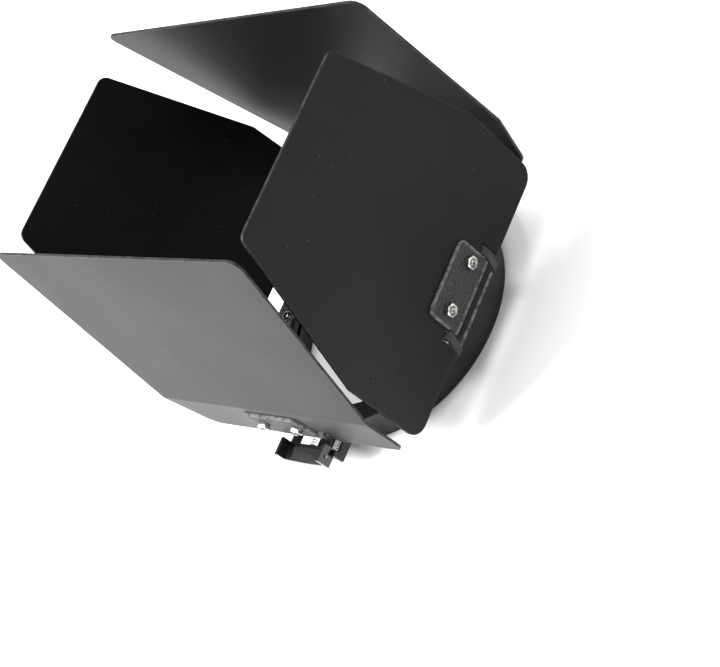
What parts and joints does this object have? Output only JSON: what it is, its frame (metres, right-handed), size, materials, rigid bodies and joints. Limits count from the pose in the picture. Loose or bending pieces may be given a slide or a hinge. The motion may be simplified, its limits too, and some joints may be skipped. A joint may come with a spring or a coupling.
{
  "type": "barn door attachment",
  "caption": "Barn door attachment with hinged metal leaves on a rotating ring that slips over the front of a Fresnel lens and locks with a spring slide",
  "frame": {"origin": "centre of the lens bore on the back face of the mount ring", "axes": "+Z along the beam, out of the front of the light; +X towards the right narrow leaf; +Y towards the top wide leaf"},
  "size_m": [0.1776, 0.1617, 0.1591],
  "materials": {
    "ring": "satin",
    "leaf": "satin",
    "hinge": "matte",
    "fixing": "polished",
    "pin": "satin",
    "grip": "satin",
    "spring": "satin",
    "felt": "matte"
  },
  "bodies": {
    "mount": {"mount_ring": "ring", "retaining_circlip": "spring"},
    "ring": {"rotating_ring": "ring", "friction_pads": "felt", "lock_guide": "ring", "hinge_bracket_right": "hinge", "hinge_pins_right": "pin", "friction_washers_right": "pin", "bracket_screws_right": "fixing", "hinge_bracket_top": "hinge", "hinge_pins_top": "pin", "friction_washers_top": "pin", "bracket_screws_top": "fixing", "hinge_bracket_left": "hinge", "hinge_pins_left": "pin", "friction_washers_left": "pin", "bracket_screws_left": "fixing", "hinge_bracket_bottom": "hinge", "hinge_pins_bottom": "pin", "friction_washers_bottom": "pin", "bracket_screws_bottom": "fixing", "lock_springs": "spring"},
    "slide": {"lock_slide": "grip", "grip_pins": "fixing"},
    "leaf_right": {"leaf_right": "leaf", "hinge_plate_right": "hinge", "leaf_screws_right": "fixing", "leaf_nuts_right": "fixing"},
    "leaf_top": {"leaf_top": "leaf", "hinge_plate_top": "hinge", "leaf_screws_top": "fixing", "leaf_nuts_top": "fixing"},
    "leaf_left": {"leaf_left": "leaf", "hinge_plate_left": "hinge", "leaf_screws_left": "fixing", "leaf_nuts_left": "fixing"},
    "leaf_bottom": {"leaf_bottom": "leaf", "hinge_plate_bottom": "hinge", "leaf_screws_bottom": "fixing", "leaf_nuts_bottom": "fixing"}
  },
  "joints": [
    {"name": "ring_turn", "type": "hinge", "parent": "mount", "child": "ring", "pos_m": [0, 0, 0], "axis": [0, 0, 1], "continuous": true},
    {"name": "right_leaf_hinge", "type": "hinge", "parent": "ring", "child": "leaf_right", "pos_m": [0.0713, 0, 0.0312], "axis": [0, 1, 0], "range_deg": [-90, 88]},
    {"name": "top_leaf_hinge", "type": "hinge", "parent": "ring", "child": "leaf_top", "pos_m": [0, 0.0713, 0.0312], "axis": [1, 0, 0], "range_deg": [-83.5, 6]},
    {"name": "left_leaf_hinge", "type": "hinge", "parent": "ring", "child": "leaf_left", "pos_m": [-0.0713, 0, 0.0312], "axis": [0, 1, 0], "range_deg": [-82.4, 95.6]},
    {"name": "bottom_leaf_hinge", "type": "hinge", "parent": "ring", "child": "leaf_bottom", "pos_m": [0, -0.0713, 0.0312], "axis": [1, 0, 0], "range_deg": [-4, 85.7]},
    {"name": "lock_pull", "type": "slide", "parent": "ring", "child": "slide", "axis": [0, -1, 0], "range_m": [0, 0.0022], "stiffness_N_per_m": 600, "springref_m": -0.002}
  ]
}
